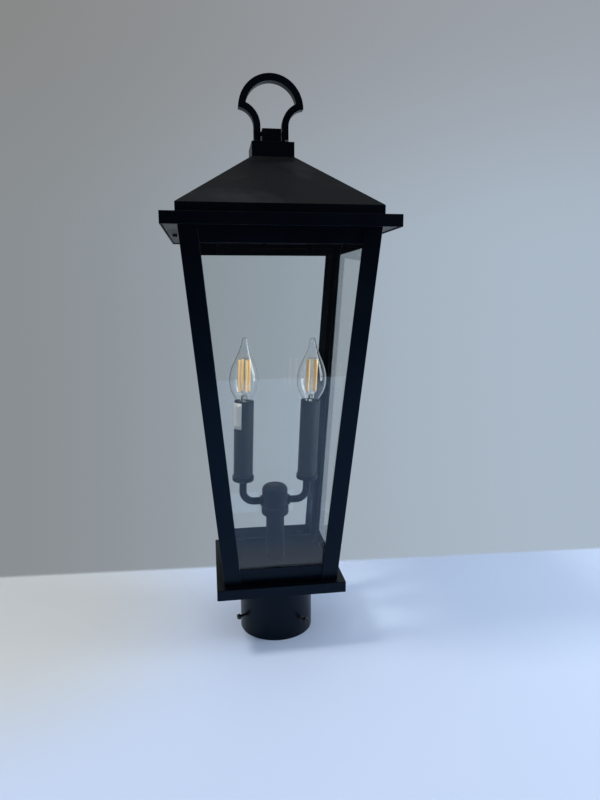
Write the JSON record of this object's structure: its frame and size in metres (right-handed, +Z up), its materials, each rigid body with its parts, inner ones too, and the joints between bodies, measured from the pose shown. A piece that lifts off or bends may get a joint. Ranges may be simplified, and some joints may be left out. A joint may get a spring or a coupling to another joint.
{
  "type": "post top lantern",
  "caption": "Square tapered post-top lantern with clear glass panes, a candle-style lamp cluster, a lift-off pyramid roof with a finial loop, and a round slip-over post fitter.",
  "frame": {"origin": "centre of the post fitter's lower edge, the bottom centre of the lantern", "axes": "+Z up along the post, -Y towards the front as pictured, +X to the right"},
  "size_m": [0.2224, 0.2224, 0.613],
  "materials": {
    "powder_coat": "fine satin black powder coat with light grazing sheen",
    "floor_coat": "semi-gloss black paint",
    "cluster_coat": "satin black paint",
    "screw_black": "blackened steel, slightly bright at the edges",
    "zinc_steel": "zinc-plated steel",
    "pane_glass": "clear float glass",
    "bulb_glass": "clear blown glass",
    "lamp_brass": "nickel-brass screw shell",
    "filament": "yellow phosphor filament sticks on a clear glass stem",
    "sleeve_plastic": "satin black moulded candle sleeve",
    "socket_plastic": "dark phenolic",
    "lead_insulation": "flexible lead insulation",
    "connector_plastic": "pale nylon"
  },
  "bodies": {
    "lantern_body": {"arm_nuts": "zinc_steel", "base_tray": "powder_coat", "bottom_rail_back": "powder_coat", "bottom_rail_front": "powder_coat", "bottom_rail_left": "powder_coat", "bottom_rail_right": "powder_coat", "candle_cup_left": "cluster_coat", "candle_cup_right": "cluster_coat", "candle_sleeve_left": "sleeve_plastic", "candle_sleeve_right": "sleeve_plastic", "corner_post_back_left": "powder_coat", "corner_post_back_right": "powder_coat", "corner_post_front_left": "powder_coat", "corner_post_front_right": "powder_coat", "fitter_screws": "zinc_steel", "floor_plate": "floor_coat", "frame_screws": "screw_black", "glass_clips": "screw_black", "glass_pane_back": "pane_glass", "glass_pane_front": "pane_glass", "glass_pane_left": "pane_glass", "glass_pane_right": "pane_glass", "hub_body": "cluster_coat", "hub_cap": "cluster_coat", "lamp_arm_left": "cluster_coat", "lamp_arm_right": "cluster_coat", "lamp_leads": "lead_insulation", "lamp_socket_left": "socket_plastic", "lamp_socket_right": "socket_plastic", "lead_connectors": "connector_plastic", "post_fitter": "powder_coat", "rod_nuts": "zinc_steel", "rod_washer": "zinc_steel", "socket_brackets": "zinc_steel", "soffit_plate": "powder_coat", "stem_rod": "zinc_steel", "stem_tube": "cluster_coat", "top_rail_back": "powder_coat", "top_rail_front": "powder_coat", "top_rail_left": "powder_coat", "top_rail_right": "powder_coat"},
    "roof": {"brim_pan": "powder_coat", "roof_shell": "powder_coat", "roof_brackets": "zinc_steel", "cap_block": "powder_coat", "loop_block": "powder_coat", "finial_bolt": "zinc_steel", "loop_pin": "powder_coat"},
    "finial_loop": {"finial_loop": "powder_coat"},
    "bulb_left": {"bulb_base_left": "lamp_brass", "bulb_glass_left": "bulb_glass", "bulb_mount_left": "filament"},
    "bulb_right": {"bulb_base_right": "lamp_brass", "bulb_glass_right": "bulb_glass", "bulb_mount_right": "filament"},
    "set_screw_left": {"set_screw_left": "screw_black"},
    "set_screw_right": {"set_screw_right": "screw_black"},
    "set_screw_back": {"set_screw_back": "screw_black"},
    "roof_screw_left": {"roof_screw_left": "screw_black"},
    "roof_screw_right": {"roof_screw_right": "screw_black"}
  },
  "joints": [
    {"name": "roof_lift", "type": "slide", "parent": "lantern_body", "child": "roof", "axis": [0, 0, 1], "range_m": [0, 0.12]},
    {"name": "loop_swing", "type": "hinge", "parent": "roof", "child": "finial_loop", "pos_m": [0, 0, 0.5545], "axis": [1, 0, 0], "range_deg": [-90, 90]},
    {"name": "bulb_left_unscrew", "type": "slide", "parent": "lantern_body", "child": "bulb_left", "axis": [0.0314, 0, 0.9995], "range_m": [0, 0.045]},
    {"name": "bulb_right_unscrew", "type": "slide", "parent": "lantern_body", "child": "bulb_right", "axis": [0.0489, 0, 0.9988], "range_m": [0, 0.045]},
    {"name": "set_screw_left_travel", "type": "slide", "parent": "lantern_body", "child": "set_screw_left", "axis": [0.8988, 0.4384, 0], "range_m": [-0.0015, 0.0065]},
    {"name": "set_screw_right_travel", "type": "slide", "parent": "lantern_body", "child": "set_screw_right", "axis": [-0.5807, 0.8141, 0], "range_m": [-0.0015, 0.0065]},
    {"name": "set_screw_back_travel", "type": "slide", "parent": "lantern_body", "child": "set_screw_back", "axis": [-0.2462, -0.9692, 0], "range_m": [-0.0015, 0.0065]},
    {"name": "roof_screw_left_travel", "type": "slide", "parent": "lantern_body", "child": "roof_screw_left", "axis": [0, 0, -1], "range_m": [0, 0.008]},
    {"name": "roof_screw_right_travel", "type": "slide", "parent": "lantern_body", "child": "roof_screw_right", "axis": [0, 0, -1], "range_m": [0, 0.008]}
  ]
}
